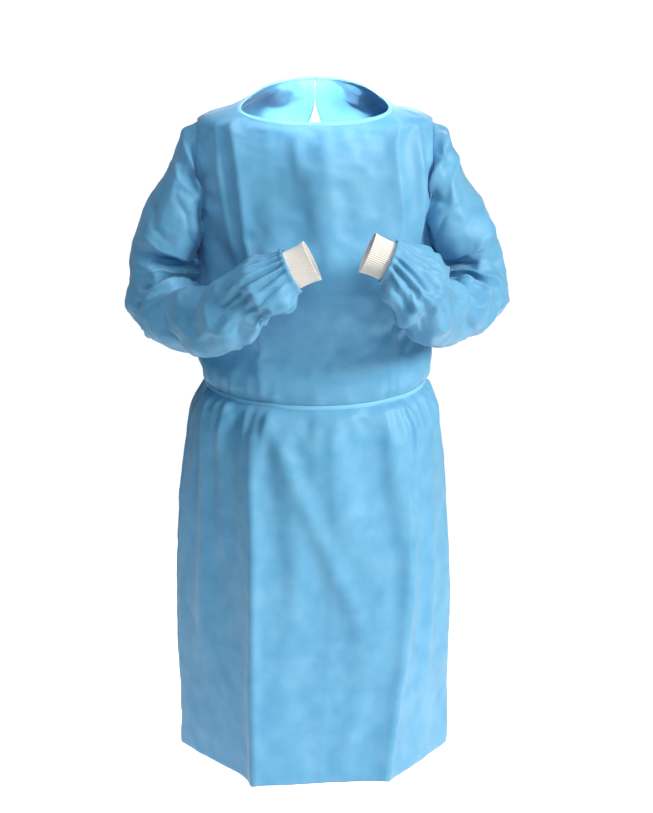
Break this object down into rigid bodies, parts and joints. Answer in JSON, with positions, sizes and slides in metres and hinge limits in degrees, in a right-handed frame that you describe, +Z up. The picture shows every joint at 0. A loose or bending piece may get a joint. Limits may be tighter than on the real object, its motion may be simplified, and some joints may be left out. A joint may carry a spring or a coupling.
{
  "type": "disposable isolation gown",
  "caption": "Lightweight overgown with a slit back, narrow neck binding, waist tie and long sleeves bent at the elbow, ending in knit cuffs.",
  "frame": {"origin": "on the shoulder line, in the middle of the neck opening, where the wearer's shoulders carry the gown", "axes": "+Z up along the wearer, the gown's front faces -Y, +X is the wearer's left"},
  "size_m": [0.63, 0.4413, 1.1305],
  "materials": {
    "gown_cloth": "soft spunbond nonwoven, slightly see-through, with pressed folds",
    "binding": "folded strip of the same nonwoven, stitched",
    "tie_tape": "narrow folded tape of the same nonwoven",
    "overlock": "overlocked seam, thread over nonwoven",
    "knit": "white ribbed polyester knit"
  },
  "bodies": {
    "gown": {"front_panel": "gown_cloth", "neck_binding": "binding", "waist_tie": "tie_tape", "waist_tie_tacks": "tie_tape", "neck_tie_knot": "tie_tape", "waist_tie_knot": "tie_tape", "neck_tie_end_left": "tie_tape", "neck_tie_end_right": "tie_tape", "waist_tie_end_left": "tie_tape", "waist_tie_end_right": "tie_tape", "back_panel_left": "gown_cloth", "back_panel_right": "gown_cloth", "shoulder_seam_left": "overlock", "shoulder_seam_right": "overlock", "side_seam_left": "overlock", "side_seam_right": "overlock", "armhole_seam_left": "overlock", "armhole_seam_right": "overlock", "sleeve_upper_left": "gown_cloth", "sleeve_upper_right": "gown_cloth", "underarm_seam_upper_left": "overlock", "underarm_seam_upper_right": "overlock"},
    "forearm_left": {"sleeve_forearm_left": "gown_cloth", "underarm_seam_forearm_left": "overlock", "knit_cuff_left": "knit", "cuff_seam_left": "overlock"},
    "forearm_right": {"sleeve_forearm_right": "gown_cloth", "underarm_seam_forearm_right": "overlock", "knit_cuff_right": "knit", "cuff_seam_right": "overlock"}
  },
  "joints": [
    {"name": "elbow_left", "type": "hinge", "parent": "gown", "child": "forearm_left", "pos_m": [0.27738, -0.02839, -0.36465], "axis": [-0.8595, 0.4488, -0.2446], "range_deg": [-90, 0]},
    {"name": "elbow_right", "type": "hinge", "parent": "gown", "child": "forearm_right", "pos_m": [-0.28372, -0.03071, -0.37], "axis": [-0.7977, -0.5203, 0.3049], "range_deg": [-90, 0]}
  ]
}
